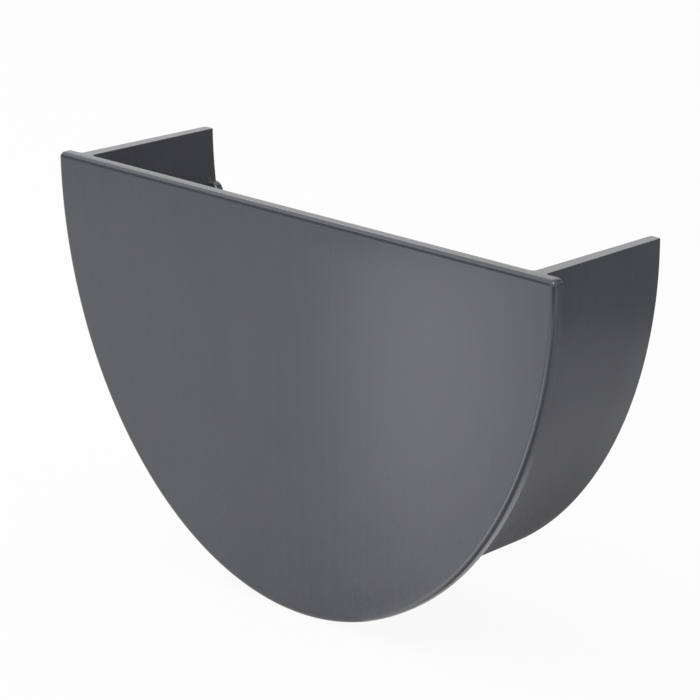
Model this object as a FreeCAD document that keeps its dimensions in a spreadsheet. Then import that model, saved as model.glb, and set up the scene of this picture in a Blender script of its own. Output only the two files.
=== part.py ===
# Gutter end cap: one plastic moulding that is pushed over the cut end of a deep half-elliptic gutter.
# Millimetres. +X across the gutter, +Y along the gutter away from the cap's face, +Z up.
# The origin is midway between the two top edges, on the plate's inner face, where the gutter's end stops.
import FreeCAD, Part
import math
import os

import Sketcher

# Driving dimensions, by the name that each has in the sheet.
SIZES = {
    "gutter_width": 110.0,      # the gutter's outside, wall to wall
    "gutter_depth": 67.5,       # the gutter's outside, top edge to bottom
    "fit_gap": 0.45,            # room between the gutter and the rib, all round
    "socket_length": 31.0,      # from the plate's inner face to the skirt's mouth
    "wall_root": 2.9,           # skirt thickness at the plate
    "wall_mouth": 2.4,          # skirt thickness at the mouth
    "grip_lean": 0.7,           # how far the skirt's inside closes in from the plate to the mouth
    "plate_thickness": 2.4,
    "lip_overhang": 4.15,       # how far the plate stands out past the skirt
    "rib_height": 1.8,          # how far the rib stands in from the skirt
    "rib_width": 1.8,           # along the gutter
    "rib_drop": 10.5,           # from the top edges down to the rib's ends
    "rib_root": 1.2,            # how deep the rib's base lies in the skirt
    "front_round": 1.0,         # the edge all round the plate's front face
    "face_corner_round": 0.15,  # the front face's two top corners, inside that edge
    "root_round": 0.8,          # where the skirt's inside meets the plate
    "mouth_bevel": 0.4,         # the edges of the skirt's mouth, so that the gutter finds its way in
    "rib_end_round": 1.3,       # the inner corners of the rib's two ends
    "rib_edge_bevel": 0.5,      # the rib's edge on the plate's side
}

# Every outline is the gutter's own half-elliptic section, grown on all sides by these allowances.
RIB_CREST = ["fit_gap"]
MOUTH_INSIDE = RIB_CREST + ["rib_height"]
RIB_BASE = MOUTH_INSIDE + ["rib_root"]
MOUTH_OUTSIDE = MOUTH_INSIDE + ["wall_mouth"]
ROOT_INSIDE = MOUTH_INSIDE + ["grip_lean"]
ROOT_OUTSIDE = ROOT_INSIDE + ["wall_root"]
PLATE_OUTLINE = ROOT_OUTSIDE + ["lip_overhang"]

# How a sketch numbers an arc's points, its own horizontal axis and its origin.
START, END, CENTRE = 1, 2, 3
SKETCH_X_AXIS = -1
SKETCH_ORIGIN = (-1, 1)

# Edges are picked by place, to within this distance.
NEAR = 1e-4

doc = FreeCAD.newDocument("gutter_end_cap")


def make_sheet():
    """Writes the driving dimensions to a sheet, one row each, and names each cell."""
    sheet = doc.addObject("Spreadsheet::Sheet", "sizes")
    for row, (name, value) in enumerate(SIZES.items(), start=1):
        sheet.set(f"A{row}", name)
        sheet.set(f"B{row}", str(value))
        sheet.setAlias(f"B{row}", name)
    doc.recompute()


def total(names):
    """The named sizes added up."""
    return sum(SIZES[name] for name in names)


def total_text(names):
    """The same sum, as an expression that reads the sheet."""
    return " + ".join(f"sizes.{name}" for name in names)


def add_sketch(body, name, along=None):
    """A sketch across the gutter, on the plate's inner face or the named distance behind it."""
    sketch = body.newObject("Sketcher::SketchObject", name)
    plane = next(p for p in body.Origin.OriginFeatures if p.Role == "XZ_Plane")
    sketch.AttachmentSupport = [(plane, "")]
    sketch.MapMode = "FlatFace"
    if along:
        # This plane's normal points to -Y.
        sketch.setExpression("AttachmentOffset.Base.z", f"-sizes.{along}")
    return sketch


def constrain(sketch, *what):
    """Adds one constraint and gives its number."""
    return sketch.addConstraint(Sketcher.Constraint(*what))


def drive(sketch, expression, *what):
    """Adds one dimension and ties it to the sheet."""
    number = constrain(sketch, *what)
    sketch.setExpression(f"Constraints[{number}]", expression)


def add_half_ellipse(sketch, allowances, drop=None):
    """The gutter's section grown by the allowances: the lower half of an ellipse about the origin.

    Its ends lie level with the origin, or lower by the named drop. Gives the arc's number."""
    half_width = SIZES["gutter_width"] / 2 + total(allowances)
    depth = SIZES["gutter_depth"] + total(allowances)
    centre = FreeCAD.Vector(0, 0, 0)
    top = FreeCAD.Vector(0, depth, 0)
    side = FreeCAD.Vector(half_width, 0, 0)

    # An ellipse counts its angle anticlockwise from its longer axis, here upwards or to the right.
    tall = depth > half_width
    ellipse = Part.Ellipse(top, -side, centre) if tall else Part.Ellipse(side, top, centre)
    left = math.pi / 2 if tall else math.pi
    rise = math.asin(SIZES[drop] / depth) if drop else 0
    arc = sketch.addGeometry(Part.ArcOfEllipse(ellipse, left + rise, left + math.pi - rise))
    upright = sketch.addGeometry(Part.LineSegment(top, -top), True)
    across = sketch.addGeometry(Part.LineSegment(side, -side), True)
    longer, shorter = (upright, across) if tall else (across, upright)

    constrain(sketch, "InternalAlignment:EllipseMajorDiameter", longer, arc)
    constrain(sketch, "InternalAlignment:EllipseMinorDiameter", shorter, arc)
    constrain(sketch, "Coincident", arc, CENTRE, *SKETCH_ORIGIN)
    constrain(sketch, "Vertical", upright)
    grown = total_text(allowances)
    drive(sketch, f"2 * (sizes.gutter_depth + {grown})", "Distance", upright, 2 * depth)
    drive(sketch, f"sizes.gutter_width + 2 * ({grown})", "Distance", across, 2 * half_width)
    for end in (START, END):
        if drop:
            drive(sketch, f"sizes.{drop}", "DistanceY", arc, end, *SKETCH_ORIGIN, SIZES[drop])
        else:
            constrain(sketch, "PointOnObject", arc, end, SKETCH_X_AXIS)
    return arc


def add_line(sketch, arc_a, end_a, arc_b, end_b):
    """A straight line from one arc's end to another's."""
    points = sketch.getPoint(arc_a, end_a), sketch.getPoint(arc_b, end_b)
    line = sketch.addGeometry(Part.LineSegment(*points))
    constrain(sketch, "Coincident", line, START, arc_a, end_a)
    constrain(sketch, "Coincident", line, END, arc_b, end_b)


def add_plate_outline(body, name, allowances):
    """A sketch of one grown section, closed by a straight top edge."""
    sketch = add_sketch(body, name)
    rim = add_half_ellipse(sketch, allowances)
    add_line(sketch, rim, END, rim, START)
    return sketch


def add_band(body, name, outside, inside, along=None, drop=None):
    """A sketch of the U-shaped band between two grown sections."""
    sketch = add_sketch(body, name, along)
    outer = add_half_ellipse(sketch, outside, drop)
    inner = add_half_ellipse(sketch, inside, drop)
    for end in (START, END):
        add_line(sketch, outer, end, inner, end)
    return sketch


def add_pad(body, name, sketch, length):
    """A pad towards -Y, as long as the named size."""
    pad = body.newObject("PartDesign::Pad", name)
    pad.Profile = sketch
    pad.setExpression("Length", f"sizes.{length}")
    doc.recompute()


def add_ruled_loft(body, name, near, far):
    """A loft with straight sides from one sketch to the other."""
    loft = body.newObject("PartDesign::AdditiveLoft", name)
    loft.Profile = near
    loft.Sections = [far]
    loft.Ruled = True
    doc.recompute()


def dress_edges(body, kind, name, is_wanted, measure, sizes):
    """Adds a fillet or chamfer to those edges of the body so far that the test picks."""
    base = body.Tip
    picked = [f"Edge{number}" for number, edge in enumerate(base.Shape.Edges, start=1) if is_wanted(edge)]
    dressing = body.newObject(kind, name)
    dressing.Base = (base, picked)
    dressing.setExpression(measure, total_text(sizes))
    doc.recompute()


def add_round(body, name, is_wanted, *radius):
    """Rounds the edges that the test picks. The radius is the named sizes added up."""
    dress_edges(body, "PartDesign::Fillet", name, is_wanted, "Radius", radius)


def add_bevel(body, name, is_wanted, *width):
    """Bevels the edges that the test picks. The width on each side is the named sizes added up."""
    dress_edges(body, "PartDesign::Chamfer", name, is_wanted, "Size", width)


def lies_at(edge, along):
    """Whether the whole edge lies at one distance along the gutter."""
    box = edge.BoundBox
    return abs(box.YMin - along) < NEAR and abs(box.YMax - along) < NEAR


def runs_along(edge, first, last):
    """Whether the edge runs straight along the gutter from one distance to the other."""
    box = edge.BoundBox
    straight = box.XLength < NEAR and box.ZLength < NEAR
    return straight and abs(box.YMin - first) < NEAR and abs(box.YMax - last) < NEAR


def is_section(edge, allowances):
    """Whether the edge is the curve of one grown section."""
    half_width = SIZES["gutter_width"] / 2 + total(allowances)
    is_ellipse = edge.Curve.TypeId == "Part::GeomEllipse"
    return is_ellipse and abs(edge.BoundBox.XMax - half_width) < NEAR


def make_plate(body):
    """The flat plate, in front of the origin, wider than the skirt so that its edge stands out as a lip."""
    add_pad(body, "plate", add_plate_outline(body, "plate_outline", PLATE_OUTLINE), "plate_thickness")


def make_skirt(body):
    """The skirt, a U-shaped wall that thins and closes in a little towards its mouth, to grip the gutter."""
    root = add_band(body, "skirt_root", ROOT_OUTSIDE, ROOT_INSIDE)
    mouth = add_band(body, "skirt_mouth", MOUTH_OUTSIDE, MOUTH_INSIDE, along="socket_length")
    add_ruled_loft(body, "skirt", root, mouth)


def make_rib(body):
    """The rib inside the mouth. It stops short of the top edges, to clear the beads along the gutter's rims."""
    band = add_band(body, "rib_band", RIB_BASE, RIB_CREST, along="socket_length", drop="rib_drop")
    add_pad(body, "rib", band, "rib_width")


def finish_edges(body):
    """The rounds and bevels that the mould gives to the cap's edges and inner corner."""
    front = -SIZES["plate_thickness"]
    mouth = SIZES["socket_length"]
    rib = mouth - SIZES["rib_width"]
    add_round(
        body, "root_round",
        lambda edge: lies_at(edge, 0) and is_section(edge, ROOT_INSIDE),
        "root_round")
    add_round(
        body, "corner_rounds", lambda edge: runs_along(edge, front, 0), "front_round", "face_corner_round")
    add_round(body, "front_edge", lambda edge: lies_at(edge, front), "front_round")
    add_round(body, "rib_ends", lambda edge: runs_along(edge, rib, mouth), "rib_end_round")
    add_bevel(body, "mouth_edges", lambda edge: lies_at(edge, mouth), "mouth_bevel")
    # The rib's crest is the only ellipse left at this distance. The bevel follows it on to the rib's ends.
    add_bevel(
        body, "rib_edge",
        lambda edge: lies_at(edge, rib) and edge.Curve.TypeId == "Part::GeomEllipse",
        "rib_edge_bevel")


def make_end_cap():
    """The whole cap, as one moulding."""
    body = doc.addObject("PartDesign::Body", "end_cap")
    body.Label = "end_cap"
    make_plate(body)
    make_skirt(body)
    make_rib(body)
    finish_edges(body)
    return body


def check(parts):
    """Stops if a feature failed, or if a part isn't one valid solid."""
    for item in doc.Objects:
        if "Invalid" in item.State or "Error" in item.State:
            raise RuntimeError(f"{item.Label} failed: {item.State}")
    for part in parts:
        shape = part.Shape
        if shape.isNull() or not shape.isValid() or len(shape.Solids) != 1:
            raise RuntimeError(f"{part.Label} isn't one valid solid")


make_sheet()
parts = [make_end_cap()]
doc.recompute()
check(parts)

os.makedirs("parts", exist_ok=True)
for part in parts:
    part.Shape.exportStep(f"parts/{part.Label}.step")
    box = part.Shape.optimalBoundingBox()
    print(f"{part.Label}: {part.Shape.Volume / 1000:.2f} cm3,"
          f" {box.XLength:.2f} x {box.YLength:.2f} x {box.ZLength:.2f} mm")
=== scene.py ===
# Gutter end cap: its finished mesh, its satin plastic, the camera and a plain studio.
# Blender's metres, in the part's own frame. Sizes of the cap and the studio are in millimetres.
import math

import bmesh
import bpy
from mathutils import Euler, Matrix, Vector


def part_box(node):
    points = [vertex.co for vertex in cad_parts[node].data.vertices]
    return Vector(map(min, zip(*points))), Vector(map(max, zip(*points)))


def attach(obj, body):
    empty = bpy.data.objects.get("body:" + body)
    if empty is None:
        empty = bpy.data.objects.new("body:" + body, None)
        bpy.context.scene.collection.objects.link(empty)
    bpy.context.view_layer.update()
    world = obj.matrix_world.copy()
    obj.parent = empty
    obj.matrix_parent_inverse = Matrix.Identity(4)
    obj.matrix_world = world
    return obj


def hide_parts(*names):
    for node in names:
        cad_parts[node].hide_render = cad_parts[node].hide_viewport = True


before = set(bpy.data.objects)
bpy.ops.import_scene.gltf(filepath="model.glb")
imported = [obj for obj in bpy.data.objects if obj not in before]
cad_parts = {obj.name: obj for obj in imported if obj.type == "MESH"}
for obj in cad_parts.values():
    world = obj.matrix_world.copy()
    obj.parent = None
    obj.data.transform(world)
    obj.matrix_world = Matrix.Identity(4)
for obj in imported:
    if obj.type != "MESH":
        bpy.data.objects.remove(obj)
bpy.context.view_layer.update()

MM = 0.001
NODE = "end_cap"
BODY = "root"

# Overall sizes, read from the frame. The last one isn't, because the rounded corners make the box a hair
# narrower than the plate's ellipse.
LOW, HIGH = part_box(NODE)
PLATE_DEPTH = -LOW.z / MM
PLATE_THICKNESS = -LOW.y / MM
SOCKET_LENGTH = HIGH.y / MM
PLATE_HALF_WIDTH = 65.0

# Walls, measured inwards from the plate's outline.
LIP = 4.15
WALL_AT_ROOT = 2.9
WALL_AT_MOUTH = 2.4
GRIP_LEAN = 0.7
INSIDE_AT_ROOT = LIP + WALL_AT_ROOT
INSIDE_AT_MOUTH = INSIDE_AT_ROOT + GRIP_LEAN
OUTSIDE_AT_MOUTH = INSIDE_AT_MOUTH - WALL_AT_MOUTH

# The rib inside the mouth.
RIB_HEIGHT = 1.8
RIB_WIDTH = 1.8
RIB_DROP = 10.5
RIB_END = 1.5

# Radii of the rounds, the ring behind the lip's edge, and the least gap between rows on a flat wall.
FRONT_ROUND = 1.0
CORNER_ROUND = 1.15
OUTER_ROOT_ROUND = 0.5
INNER_ROOT_ROUND = 0.8
MOUTH_ROUND = 0.4
RIB_EDGE_ROUND = 0.5
RIB_ROOT_ROUND = 0.3
EDGE_BREAK = 0.12
LIP_RING = 0.5
ROW_GAP = 0.1

# How finely the curves are divided.
ROUND_STEPS = 6
CORNER_STEPS = 6
STRAIGHT_STEPS = 6
SWEEP_STEPS = 48
WALL_STEPS = 4
TOP_STEPS = 12
EDGE_BREAK_STEPS = 3

# The share that large faces have in the shading, where 50 is an even one.
FLAT_FACE_WEIGHT = 100


class Station:
    """One place along the left half of the U, from the top edge to the bottom."""

    def __init__(self, depth=None, share=0.0, rib=0.0, corner=None):
        self.depth = depth      # below the top edge, while the stations lie level
        self.share = share      # of the turn that is left from there to the bottom
        self.rib = rib          # how much of the rib stands here
        self.corner = corner    # how far round the plate's top corner, from 0 to 1


def make_stations():
    """The stations of the left half: corner, straight run, rib's end, then the sweep to the bottom."""
    stations = []
    for step in range(CORNER_STEPS + 1):
        share = step / CORNER_STEPS
        stations.append(Station(depth=CORNER_ROUND * share, corner=share))
    for step in range(1, STRAIGHT_STEPS + 1):
        stations.append(Station(depth=CORNER_ROUND + (RIB_DROP - CORNER_ROUND) * step / STRAIGHT_STEPS))
    for turn in quarter_turns()[1:]:
        stations.append(Station(depth=RIB_DROP + RIB_END * (1 - math.cos(turn)), rib=math.sin(turn)))
    for step in range(1, SWEEP_STEPS + 1):
        stations.append(Station(share=step / SWEEP_STEPS, rib=1.0))
    return stations


def quarter_turns():
    """Angles of a quarter round, from 0 to a right angle."""
    return [math.pi / 2 * step / ROUND_STEPS for step in range(ROUND_STEPS + 1)]


STATIONS = make_stations()
HALF = len(STATIONS) - 1
WHOLE = 2 * HALF


def station_at(index):
    """The station at one place of the whole U, whose right half mirrors its left."""
    return STATIONS[min(index, WHOLE - index)]


def side_of(index):
    """-1 on the left half of the U, 1 on the right."""
    return -1 if index <= HALF else 1


def section_point(inset, y, index):
    """A point on the plate's half ellipse moved inwards by the inset, at one place of the whole U."""
    station = station_at(index)
    half_width = PLATE_HALF_WIDTH - inset
    depth = PLATE_DEPTH - inset
    if station.depth is not None:
        angle = math.asin(station.depth / depth)
    else:
        start = math.asin((RIB_DROP + RIB_END) / depth)
        angle = start + (math.pi / 2 - start) * station.share
    return Vector((side_of(index) * half_width * math.cos(angle), y, -depth * math.sin(angle))) * MM


def rim_point(inset, y, index):
    """A point on the plate's outline, which also has its two top corners rounded."""
    station = station_at(index)
    if station.corner is None:
        return section_point(inset, y, index)
    turn = math.pi / 2 * station.corner
    radius = CORNER_ROUND - inset
    x = corner_x() + radius * math.sin(turn)
    z = -CORNER_ROUND + radius * math.cos(turn)
    return Vector((side_of(index) * x, y, z)) * MM


def corner_x():
    """How far out the centres of the plate's corner rounds lie."""
    across = math.sqrt(1 - (CORNER_ROUND / PLATE_DEPTH) ** 2)
    return PLATE_HALF_WIDTH * across - CORNER_ROUND


def outside(y):
    """The inset of the skirt's outer face."""
    return LIP + (OUTSIDE_AT_MOUTH - LIP) * y / SOCKET_LENGTH


def inside(y):
    """The inset of the skirt's inner face."""
    return INSIDE_AT_ROOT + GRIP_LEAN * y / SOCKET_LENGTH


def skirt_profile(rib):
    """The skirt's cut at one station, from the lip's back face round the mouth to the plate's inner face.

    A list of inset, distance along the gutter and whether the point lies on a worn edge."""
    points = []
    for turn in quarter_turns():
        y = OUTER_ROOT_ROUND * (1 - math.cos(turn))
        points.append((outside(y) - OUTER_ROOT_ROUND * (1 - math.sin(turn)), y, False))
    for step in range(1, WALL_STEPS):
        y = SOCKET_LENGTH * step / WALL_STEPS
        points.append((outside(y), y, False))
    for turn in quarter_turns():
        y = SOCKET_LENGTH - MOUTH_ROUND * (1 - math.sin(turn))
        points.append((outside(y) + MOUTH_ROUND * (1 - math.cos(turn)), y, True))
    for turn in quarter_turns():
        y = SOCKET_LENGTH - MOUTH_ROUND * (1 - math.cos(turn))
        crest = inside(y) + rib * RIB_HEIGHT
        points.append((crest - MOUTH_ROUND * (1 - math.sin(turn)), y, True))
    rib_back = SOCKET_LENGTH - RIB_WIDTH
    for turn in quarter_turns():
        y = rib_back + RIB_EDGE_ROUND * (1 - math.sin(turn))
        rise = RIB_HEIGHT - RIB_EDGE_ROUND * (1 - math.cos(turn))
        points.append((inside(y) + rib * rise, y, rib > 0))
    # Where no rib stands, these two points keep apart from their neighbours on the flat wall.
    y = rib_back - ROW_GAP * (1 - rib)
    points.append((inside(y) + rib * RIB_ROOT_ROUND, y, False))
    y = rib_back - RIB_ROOT_ROUND
    points.append((inside(y), y, False))
    for step in range(1, WALL_STEPS):
        y = rib_back * (1 - step / WALL_STEPS)
        points.append((inside(y), y, False))
    for turn in quarter_turns():
        y = INNER_ROOT_ROUND * (1 - math.sin(turn))
        points.append((inside(y) + INNER_ROOT_ROUND * (1 - math.cos(turn)), y, False))
    return points


class CapMesh:
    """The cap's mesh while it is built, with the marks for worn edges and for the fine break."""

    def __init__(self):
        self.mesh = bmesh.new()
        self.wear = self.mesh.verts.layers.float.new("edge_wear")
        self.soft = self.mesh.edges.layers.float.new("bevel_weight_edge")

    def vertex(self, place, worn):
        """A vertex that lies on a worn edge or not."""
        made = self.mesh.verts.new(place)
        made[self.wear] = 1.0 if worn else 0.0
        return made

    def face(self, corners):
        """One face with these corners."""
        self.mesh.faces.new(corners)

    def strip(self, near, far):
        """Four-sided faces between two rows of vertices."""
        for k in range(len(near) - 1):
            self.face((near[k], near[k + 1], far[k + 1], far[k]))

    def break_edges(self, loop):
        """Marks the edges of a closed loop as worn, and for the fine break."""
        for a, b in zip(loop, loop[1:] + loop[:1]):
            self.mesh.edges.get((a, b))[self.soft] = 1.0
            a[self.wear] = 1.0


def build_cap():
    """The whole cap as one closed mesh."""
    cap = CapMesh()
    rows = add_skirt(cap)
    left, right = rows[0], rows[-1]
    front, back, top_back = add_rim(cap, left, right)
    add_lip_back(cap, back, [row[0] for row in rows])
    # The tops of the two walls, then the plate's two faces.
    cap.face(left)
    cap.face(right[::-1])
    fill_level(cap, front[:WHOLE + 1], front[WHOLE + 1:])
    fill_level(cap, [row[-1] for row in rows], top_back)
    cap.break_edges(back + right + top_back + left[::-1])
    bmesh.ops.recalc_face_normals(cap.mesh, faces=cap.mesh.faces)
    return cap.mesh


def add_skirt(cap):
    """The skirt, with a row of vertices across it at each place of the U. Returns the rows."""
    rows = []
    for index in range(WHOLE + 1):
        profile = skirt_profile(station_at(index).rib)
        rows.append([cap.vertex(section_point(inset, y, index), worn) for inset, y, worn in profile])
    for near, far in zip(rows, rows[1:]):
        cap.strip(near, far)
    return rows


def add_rim(cap, left, right):
    """The plate's edge, as closed rings from its front face to its back, where they meet the walls' tops.

    Returns the front ring, then the U and the top of the back ring."""
    root_x = PLATE_HALF_WIDTH - LIP + OUTER_ROOT_ROUND
    inner_x = PLATE_HALF_WIDTH - INSIDE_AT_ROOT - INNER_ROOT_ROUND
    columns = [inner_x * (1 - 2 * step / TOP_STEPS) for step in range(1, TOP_STEPS)]
    across = [root_x, inner_x] + columns + [-inner_x, -root_x]
    rings = []
    for turn in quarter_turns():
        inset = FRONT_ROUND * (1 - math.sin(turn))
        y = -PLATE_THICKNESS + FRONT_ROUND * (1 - math.cos(turn))
        worn = 0 < turn < math.pi / 2
        ring = [cap.vertex(rim_point(inset, y, index), worn) for index in range(WHOLE + 1)]
        ring += [cap.vertex(Vector((x, y, -inset)) * MM, worn) for x in across]
        rings.append(ring)
    back = [cap.vertex(rim_point(0, 0, index), True) for index in range(WHOLE + 1)]
    top_back = [cap.vertex(Vector((x, 0, 0)) * MM, True) for x in columns]
    rings.append(back + [right[0], right[-1]] + top_back + [left[-1], left[0]])
    for near, far in zip(rings, rings[1:]):
        cap.strip(near + near[:1], far + far[:1])
    return rings[0], back, top_back


def add_lip_back(cap, back, root):
    """The lip's back: a narrow ring behind the rim, a strip to the skirt and a plain face at each corner."""
    ring = [cap.vertex(rim_point(LIP_RING, 0, index), False) for index in range(WHOLE + 1)]
    cap.strip(back, ring)
    between = slice(CORNER_STEPS, WHOLE - CORNER_STEPS + 1)
    cap.strip(ring[between], root[between])
    corner = slice(0, CORNER_STEPS + 1)
    for rim, inner, foot in ((back, ring, root), (back[::-1], ring[::-1], root[::-1])):
        cap.face([rim[0]] + inner[corner] + foot[corner][::-1])


def fill_level(cap, u_row, top_row):
    """Fills a flat half-elliptic face with level strips between its left and right sides."""
    cap.face([u_row[0], u_row[1], u_row[-2], u_row[-1]] + top_row)
    for index in range(1, HALF - 1):
        cap.face((u_row[index], u_row[index + 1], u_row[-index - 2], u_row[-index - 1]))
    cap.face((u_row[HALF - 1], u_row[HALF], u_row[HALF + 1]))


def make_cap(material):
    """The cap that stands for the solid in the frame. Its sharp edges get a fine break."""
    cap = build_cap()
    mesh = bpy.data.meshes.new("end_cap_moulding")
    cap.to_mesh(mesh)
    cap.free()
    mesh.shade_smooth()
    mesh.materials.append(material)
    moulding = bpy.data.objects.new("end_cap_moulding", mesh)
    bpy.context.scene.collection.objects.link(moulding)

    edges = moulding.modifiers.new("edge_break", "BEVEL")
    edges.limit_method = "WEIGHT"
    edges.width = EDGE_BREAK * MM
    edges.segments = EDGE_BREAK_STEPS
    edges.use_clamp_overlap = False
    shading = moulding.modifiers.new("flat_faces", "WEIGHTED_NORMAL")
    shading.weight = FLAT_FACE_WEIGHT
    shading.keep_sharp = True

    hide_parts(NODE)
    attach(moulding, BODY)


# The plastic: its base colour, its gloss, and the sizes of the marks on it.
PLASTIC_COLOR = (0.064, 0.0665, 0.080)
PLASTIC_DEEP = 0.93
PLASTIC_PALE = 1.07
PLASTIC_WORN = 1.15
PLASTIC_GLOSS = 0.65
ROUGH_LOW = 0.255
ROUGH_HIGH = 0.285
ROUGH_WORN = 0.15
MOTTLE_SIZE = 18.0
STREAK_WIDTH = 1.0
STREAK_LENGTH = 30.0
PEEL_SIZE = 3.5
PEEL_HEIGHT = 0.0012
GRAIN_SIZE = 0.35
GRAIN_HEIGHT = 0.0012

# How many finer layers a noise has, and the middle range that most of its values lie in.
MARK_DETAIL = 3.0
PEEL_DETAIL = 2.0
GRAIN_DETAIL = 1.0
NOISE_LOW = 0.3
NOISE_HIGH = 0.7

WHITE = (1.0, 1.0, 1.0, 1.0)


class Nodes:
    """The nodes of a material or the world, made and linked by name."""

    def __init__(self, tree):
        self.tree = tree

    def add(self, kind, links=None, **settings):
        """A node with its settings. Its inputs, by name or number, are fed from links."""
        node = self.tree.nodes.new(kind)
        for name, value in settings.items():
            setattr(node, name, value)
        for name, value in (links or {}).items():
            self.feed(node.inputs[name], value)
        return node

    def feed(self, socket, value):
        """Links an output to the socket, or sets the socket's own value."""
        if isinstance(value, bpy.types.NodeSocket):
            self.tree.links.new(value, socket)
        else:
            socket.default_value = value

    def feed_surface(self, output, value):
        """Links a shader to the surface of the named output node."""
        self.feed(self.tree.nodes[output].inputs["Surface"], value)

    def noise(self, place, size, detail, stretch=(1, 1, 1)):
        """Soft noise with features of the given size, longer along an axis with a larger stretch."""
        scale = [1 / (size * MM * long) for long in stretch]
        spread = self.add("ShaderNodeMapping", {"Vector": place, "Scale": scale})
        made = self.add("ShaderNodeTexNoise", {
            "Vector": spread.outputs["Vector"], "Scale": 1.0, "Detail": detail})
        return made.outputs["Fac"]

    def spread(self, value, low, high):
        """The noise's middle range, stretched to run from low to high."""
        made = self.add("ShaderNodeMapRange", {
            "Value": value, "From Min": NOISE_LOW, "From Max": NOISE_HIGH, "To Min": low, "To Max": high})
        return made.outputs["Result"]

    def math(self, operation, a, b):
        """One sum on two values."""
        made = self.add("ShaderNodeMath", {0: a, 1: b}, operation=operation)
        return made.outputs[0]

    def average(self, a, b):
        """The mean of two values."""
        return self.math("MULTIPLY", self.math("ADD", a, b), 0.5)

    def blend(self, share, a, b):
        """A value between a and b."""
        made = self.add("ShaderNodeMix", {"Factor": share, "A": a, "B": b}, data_type="FLOAT")
        return made.outputs["Result"]

    def blend_shaders(self, share, a, b):
        """A shader between a and b."""
        return self.add("ShaderNodeMixShader", {0: share, 1: a, 2: b}).outputs["Shader"]


def make_plastic():
    """Satin anthracite plastic: mottling, marks down the face, a fine grain and paler, glossier edges."""
    material = bpy.data.materials.new("satin_anthracite_plastic")
    material.use_nodes = True
    nodes = Nodes(material.node_tree)
    shader = material.node_tree.nodes["Principled BSDF"]
    place = nodes.add("ShaderNodeTexCoord").outputs["Object"]
    worn = nodes.add("ShaderNodeAttribute", attribute_name="edge_wear").outputs["Fac"]

    mottle = nodes.noise(place, MOTTLE_SIZE, MARK_DETAIL)
    streak = nodes.noise(place, STREAK_WIDTH, MARK_DETAIL, stretch=(1, 1, STREAK_LENGTH / STREAK_WIDTH))
    peel = nodes.noise(place, PEEL_SIZE, PEEL_DETAIL)
    grain = nodes.noise(place, GRAIN_SIZE, GRAIN_DETAIL)

    tone = nodes.spread(nodes.average(mottle, streak), PLASTIC_DEEP, PLASTIC_PALE)
    tone = nodes.blend(worn, tone, PLASTIC_WORN)
    color = nodes.add("ShaderNodeMix", {"Factor": 1.0, "A": (*PLASTIC_COLOR, 1.0), "B": tone},
                      data_type="RGBA", blend_type="MULTIPLY")
    rough = nodes.spread(nodes.average(streak, peel), ROUGH_LOW, ROUGH_HIGH)
    waves = nodes.add("ShaderNodeBump", {"Strength": 1.0, "Distance": PEEL_HEIGHT * MM, "Height": peel})
    fine = nodes.add("ShaderNodeBump", {
        "Strength": 1.0, "Distance": GRAIN_HEIGHT * MM, "Height": grain, "Normal": waves.outputs["Normal"]})

    nodes.feed(shader.inputs["Base Color"], color.outputs["Result"])
    nodes.feed(shader.inputs["Roughness"], nodes.blend(worn, rough, ROUGH_WORN))
    nodes.feed(shader.inputs["Normal"], fine.outputs["Normal"])
    nodes.feed(shader.inputs["Specular IOR Level"], PLASTIC_GLOSS)
    return material


# The studio: a white floor, white surroundings, one soft lamp, and panels that only reflections show.
TOP_EDGE = Vector((0.0, LOW.y, 0.0))
FLOOR_LEVEL = LOW.z
FLOOR_REACH = 3000
FLOOR_COLOR = 0.9
FLOOR_ROUGHNESS = 0.9
FLOOR_WHITE = 0.93
FLOOR_REFLECTED = 0.5
WORLD_LIGHT = 0.6
KEY_AZIMUTH = -50
KEY_ELEVATION = 48
KEY_DISTANCE = 800
KEY_SIDE = 650
KEY_BRIGHTNESS = 2.6


def seen_share(nodes, camera, reflection):
    """How much a ray sees of the white: a share for the camera, and one for gloss and glass."""
    path = nodes.add("ShaderNodeLightPath")
    glossy = nodes.math("MAXIMUM", path.outputs["Is Glossy Ray"], path.outputs["Is Transmission Ray"])
    return nodes.math("MAXIMUM", nodes.math("MULTIPLY", path.outputs["Is Camera Ray"], camera),
                      nodes.math("MULTIPLY", glossy, reflection))


def make_floor():
    """A wide pale floor under the cap. It shows as white, and keeps a soft shadow."""
    reach = FLOOR_REACH * MM
    mesh = bpy.data.meshes.new("floor")
    corners = [(x * reach, y * reach, FLOOR_LEVEL) for x, y in ((-1, -1), (1, -1), (1, 1), (-1, 1))]
    mesh.from_pydata(corners, [], [(0, 1, 2, 3)])
    floor = bpy.data.objects.new("floor", mesh)
    bpy.context.scene.collection.objects.link(floor)
    material = bpy.data.materials.new("pale_floor")
    material.use_nodes = True
    material.cycles.emission_sampling = "NONE"
    nodes = Nodes(material.node_tree)
    shader = material.node_tree.nodes["Principled BSDF"]
    nodes.feed(shader.inputs["Base Color"], (FLOOR_COLOR, FLOOR_COLOR, FLOOR_COLOR, 1.0))
    nodes.feed(shader.inputs["Roughness"], FLOOR_ROUGHNESS)
    nodes.feed(shader.inputs["Specular IOR Level"], 0.0)
    white = nodes.add("ShaderNodeEmission", {"Color": WHITE, "Strength": 1.0})
    share = seen_share(nodes, FLOOR_WHITE, FLOOR_REFLECTED)
    both = nodes.blend_shaders(share, shader.outputs["BSDF"], white.outputs["Emission"])
    nodes.feed_surface("Material Output", both)
    mesh.materials.append(material)


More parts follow.
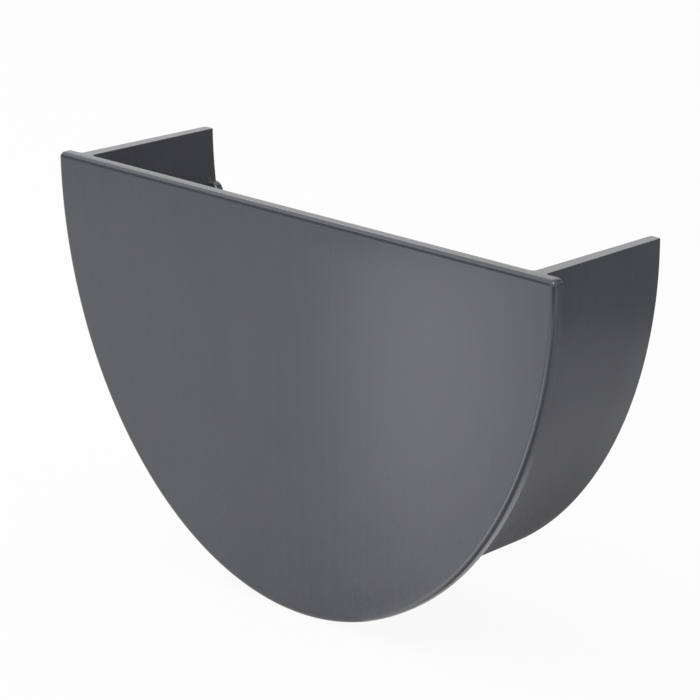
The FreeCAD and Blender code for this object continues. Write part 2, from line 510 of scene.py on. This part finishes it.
def make_world():
    """White surroundings, a little dimmer as a light than they look."""
    world = bpy.data.worlds.new("studio")
    bpy.context.scene.world = world
    world.use_nodes = True
    world.cycles.sampling_method = "NONE"
    nodes = Nodes(world.node_tree)
    light = world.node_tree.nodes["Background"]
    nodes.feed(light.inputs["Color"], WHITE)
    nodes.feed(light.inputs["Strength"], WORLD_LIGHT)
    white = nodes.add("ShaderNodeBackground", {"Color": WHITE, "Strength": 1.0})
    both = nodes.blend_shaders(
        seen_share(nodes, 1.0, 1.0), light.outputs["Background"], white.outputs["Background"])
    nodes.feed_surface("World Output", both)


def place_round(azimuth, elevation, distance):
    """A place round the plate's top edge. Azimuth 0 is before the plate and 90 to its right, in degrees."""
    turn, rise = math.radians(azimuth), math.radians(elevation)
    way = Vector((math.sin(turn) * math.cos(rise), -math.cos(turn) * math.cos(rise), math.sin(rise)))
    return TOP_EDGE + way * distance * MM


def turn_to_edge(place):
    """The turn that points a thing's -Z axis from its place at the plate's top edge, with its Y axis up."""
    return (TOP_EDGE - place).to_track_quat("-Z", "Y").to_euler()


def make_key_lamp():
    """The soft lamp, from the left and above. Neither the camera nor reflections show it."""
    side = KEY_SIDE * MM
    lamp = bpy.data.lights.new("key_softbox", "AREA")
    lamp.shape = "RECTANGLE"
    lamp.size = side
    lamp.size_y = side
    lamp.energy = KEY_BRIGHTNESS * side * side * math.pi
    softbox = bpy.data.objects.new("key_softbox", lamp)
    softbox.location = place_round(KEY_AZIMUTH, KEY_ELEVATION, KEY_DISTANCE)
    softbox.rotation_euler = turn_to_edge(softbox.location)
    softbox.visible_camera = False
    softbox.visible_glossy = False
    bpy.context.scene.collection.objects.link(softbox)


def add_panel(name, place, turn, width, height, brightness, soft, top=1.0):
    """An oval panel that only reflections show. Its edge fades out over the soft share of its radius.

    A brightness of 1 is white. A top below 1 cuts the panel off level, that share of its half height above
    its middle."""
    width, height = width * MM, height * MM
    corners = ((-1, -1), (1, -1), (1, top), (-1, top))
    mesh = bpy.data.meshes.new(name)
    mesh.from_pydata([(x * width / 2, y * height / 2, 0) for x, y in corners], [], [(0, 1, 2, 3)])
    material = bpy.data.materials.new(name)
    material.use_nodes = True
    material.cycles.emission_sampling = "NONE"
    nodes = Nodes(material.node_tree)
    flat = nodes.add("ShaderNodeTexCoord").outputs["Object"]
    oval = nodes.add("ShaderNodeMapping", {"Vector": flat, "Scale": (2 / width, 2 / height, 1)})
    fade = nodes.add("ShaderNodeTexGradient", {"Vector": oval.outputs["Vector"]}, gradient_type="SPHERICAL")
    edge = nodes.add("ShaderNodeMapRange", {"Value": fade.outputs["Fac"], "From Max": soft},
                     interpolation_type="SMOOTHSTEP")
    clear = nodes.add("ShaderNodeBsdfTransparent")
    glow = nodes.add("ShaderNodeEmission", {"Strength": brightness})
    both = nodes.blend_shaders(edge.outputs["Result"], clear.outputs["BSDF"], glow.outputs["Emission"])
    nodes.feed_surface("Material Output", both)
    mesh.materials.append(material)
    panel = bpy.data.objects.new(name, mesh)
    panel.location = place
    panel.rotation_euler = turn
    panel.visible_camera = False
    panel.visible_diffuse = False
    panel.visible_shadow = False
    bpy.context.scene.collection.objects.link(panel)


def stand_panel(name, azimuth, elevation, distance, **look):
    """A panel that stands round the plate's top edge and faces it."""
    place = place_round(azimuth, elevation, distance)
    add_panel(name, place, turn_to_edge(place), **look)


def lay_panel(name, x, y, rise, along, **look):
    """A panel that lies over the floor, with its width turned from the X axis by some degrees.

    Where two overlap, the one with the larger rise covers the other."""
    place = Vector((x * MM, y * MM, FLOOR_LEVEL + rise * MM))
    add_panel(name, place, Euler((0, 0, math.radians(along))), **look)


def make_reflections():
    """The panels. Each one gives a part of the cap the tone that it has in the photograph."""
    # The pale band on the face, which ends below the top edge.
    band_place = Vector((12, -29, -30)) * MM
    band_turn = Euler((math.radians(90), 0, math.radians(-45)))
    add_panel("band_panel", band_place, band_turn, width=62, height=150, brightness=1.85, soft=1.0, top=0.28)
    # The bright spot on the right corner of the plate, and the dark side below it.
    stand_panel("corner_panel", azimuth=43, elevation=53, distance=600,
                width=350, height=350, brightness=12.0, soft=0.5)
    stand_panel("notch_panel", azimuth=160, elevation=40, distance=500,
                width=400, height=250, brightness=0.1, soft=0.4)
    # The pale tops of the plate and the walls, then the lines along the round of the plate's top edge.
    stand_panel("top_panel", azimuth=226, elevation=18, distance=600,
                width=600, height=350, brightness=1.15, soft=0.4)
    stand_panel("line_panel", azimuth=235, elevation=35, distance=600,
                width=300, height=150, brightness=3.5, soft=0.6)
    stand_panel("key_panel", azimuth=-54, elevation=33, distance=600,
                width=300, height=110, brightness=1.9, soft=0.5)
    stand_panel("edge_panel", azimuth=-45, elevation=6, distance=400,
                width=800, height=300, brightness=0.0, soft=0.25)
    # The dark upper part of the skirt and of the inner walls.
    stand_panel("side_panel", azimuth=134, elevation=2, distance=300,
                width=500, height=240, brightness=0.22, soft=0.4)
    lay_panel("back_panel", x=120, y=190, rise=1.0, along=0,
              width=340, height=180, brightness=0.22, soft=0.5)
    # The paler middle of the skirt, and its darker underside.
    lay_panel("ground_panel", x=110, y=75, rise=0.5, along=20,
              width=340, height=170, brightness=0.55, soft=0.3)
    lay_panel("shade_panel", x=-7, y=60, rise=1.5, along=180,
              width=150, height=240, brightness=0.17, soft=0.6, top=0.27)
    # The lines along the plate's right rim, from the face round to the lip's back.
    stand_panel("rim_panel", azimuth=51, elevation=-11, distance=240,
                width=320, height=130, brightness=0.05, soft=0.3)
    lay_panel("front_panel", x=70, y=-86, rise=3.5, along=-62,
              width=240, height=48, brightness=3.0, soft=0.6)
    lay_panel("right_panel", x=150, y=-10, rise=2.0, along=0,
              width=240, height=80, brightness=0.1, soft=0.4)
    lay_panel("under_panel", x=55, y=-1, rise=3.0, along=0,
              width=70, height=14, brightness=0.1, soft=0.4)
    lay_panel("near_pool", x=54, y=27, rise=2.5, along=28,
              width=70, height=26, brightness=1.25, soft=0.8)


# The camera, as fitted to the photograph's outline.
CAMERA_LENS = 192.96
CAMERA_SENSOR = 36.0
CAMERA_AZIMUTH = math.radians(45.93)
CAMERA_ELEVATION = math.radians(17.09)
CAMERA_ROLL = math.radians(-0.46)
CAMERA_DISTANCE = 699.35
CAMERA_SIDE_STEP = -3.33
CAMERA_AIM = Vector((0.0, 17.1, -30.34))


def make_camera():
    """A long lens, from the right and a little above, level with the photograph's."""
    level = math.cos(CAMERA_ELEVATION)
    back = Vector((
        math.sin(CAMERA_AZIMUTH) * level, -math.cos(CAMERA_AZIMUTH) * level, math.sin(CAMERA_ELEVATION)))
    side = Vector((math.cos(CAMERA_AZIMUTH), math.sin(CAMERA_AZIMUTH), 0.0))
    up = back.cross(side)
    c, s = math.cos(CAMERA_ROLL), math.sin(CAMERA_ROLL)
    right, above = c * side + s * up, c * up - s * side
    lens = bpy.data.cameras.new("camera")
    lens.lens = CAMERA_LENS
    lens.sensor_width = CAMERA_SENSOR
    camera = bpy.data.objects.new("camera", lens)
    camera.matrix_world = Matrix((right, above, back)).transposed().to_4x4()
    camera.location = (CAMERA_AIM + CAMERA_SIDE_STEP * right + CAMERA_DISTANCE * back) * MM
    bpy.context.scene.collection.objects.link(camera)
    bpy.context.scene.camera = camera


make_cap(make_plastic())
make_floor()
make_world()
make_key_lamp()
make_reflections()
make_camera()
bpy.context.scene.view_settings.view_transform = "Standard"
